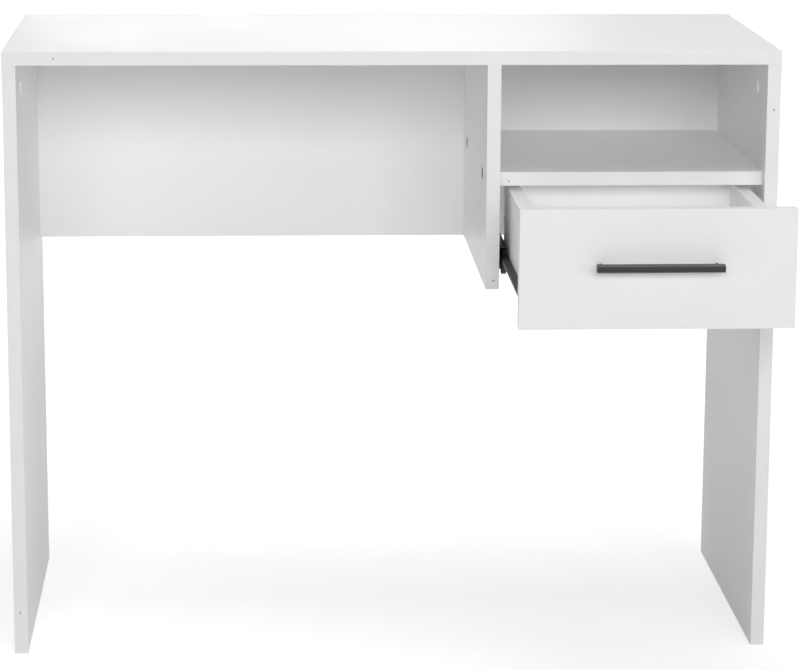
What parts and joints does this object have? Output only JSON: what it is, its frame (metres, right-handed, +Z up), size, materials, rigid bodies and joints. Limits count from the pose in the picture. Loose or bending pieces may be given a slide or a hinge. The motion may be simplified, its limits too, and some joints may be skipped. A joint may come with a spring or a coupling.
{
  "type": "writing desk",
  "caption": "Small white board writing desk with panel legs, a modesty panel, an open compartment and a drawer on roller runners with a black bar handle.",
  "frame": {"origin": "on the floor, midway across the width and midway between the handle's front and the rear edges, with the drawer run out", "axes": "+X to the user's right along the width, +Y towards the back, +Z up"},
  "size_m": [0.9, 0.657, 0.72],
  "materials": {
    "white_board": "white melamine-faced chipboard, fine satin",
    "white_hardboard": "white-faced hardboard, satin",
    "zinc": "zinc plated",
    "white_plastic": "moulded, satin",
    "beech": "turned and fluted, raw",
    "black_runner_steel": "black powder coat, satin",
    "black_plastic": "moulded nylon, satin",
    "black_handle": "graphite black, satin"
  },
  "bodies": {
    "carcass": {"desktop": "white_board", "left_side_panel": "white_board", "right_side_panel": "white_board", "divider_panel": "white_board", "back_panel": "white_board", "shelf": "white_board", "cam_locks": "zinc", "cam_bolts": "zinc", "cam_caps": "white_plastic", "wooden_dowels": "beech", "confirmat_screws": "zinc", "confirmat_caps": "white_plastic", "left_cabinet_rail": "black_runner_steel", "right_cabinet_rail": "black_runner_steel", "cabinet_rail_screws": "zinc", "cabinet_roller_rivets": "zinc"},
    "drawer": {"drawer_front": "white_board", "drawer_left_side": "white_board", "drawer_right_side": "white_board", "drawer_back": "white_board", "drawer_bottom": "white_hardboard", "drawer_cam_locks": "zinc", "drawer_cam_bolts": "zinc", "drawer_dowels": "beech", "drawer_back_screws": "zinc", "left_drawer_rail": "black_runner_steel", "right_drawer_rail": "black_runner_steel", "drawer_rail_screws": "zinc", "drawer_roller_rivets": "zinc", "handle": "black_handle", "handle_screws": "zinc"},
    "roller_cabinet_left": {"left_cabinet_roller": "black_plastic"},
    "roller_cabinet_right": {"right_cabinet_roller": "black_plastic"},
    "roller_drawer_left": {"left_drawer_roller": "black_plastic"},
    "roller_drawer_right": {"right_drawer_roller": "black_plastic"}
  },
  "joints": [
    {"name": "drawer_slide", "type": "slide", "parent": "carcass", "child": "drawer", "axis": [0, -1, 0], "range_m": [-0.231, 0]},
    {"name": "cabinet_roller_left_spin", "type": "hinge", "parent": "carcass", "child": "roller_cabinet_left", "pos_m": [0.1316, -0.0405, 0.4637], "axis": [1, 0, 0], "continuous": true},
    {"name": "cabinet_roller_right_spin", "type": "hinge", "parent": "carcass", "child": "roller_cabinet_right", "pos_m": [0.4264, -0.0405, 0.4637], "axis": [1, 0, 0], "continuous": true},
    {"name": "drawer_roller_left_spin", "type": "hinge", "parent": "drawer", "child": "roller_drawer_left", "pos_m": [0.1302, 0.0015, 0.4747], "axis": [1, 0, 0], "continuous": true},
    {"name": "drawer_roller_right_spin", "type": "hinge", "parent": "drawer", "child": "roller_drawer_right", "pos_m": [0.4278, 0.0015, 0.4747], "axis": [1, 0, 0], "continuous": true}
  ],
  "couplings": [
    {"joint": "cabinet_roller_left_spin", "follows": "drawer_slide", "rad_per_m": 90.909},
    {"joint": "cabinet_roller_right_spin", "follows": "drawer_slide", "rad_per_m": 90.909},
    {"joint": "drawer_roller_left_spin", "follows": "drawer_slide", "rad_per_m": 90.909},
    {"joint": "drawer_roller_right_spin", "follows": "drawer_slide", "rad_per_m": 90.909}
  ]
}
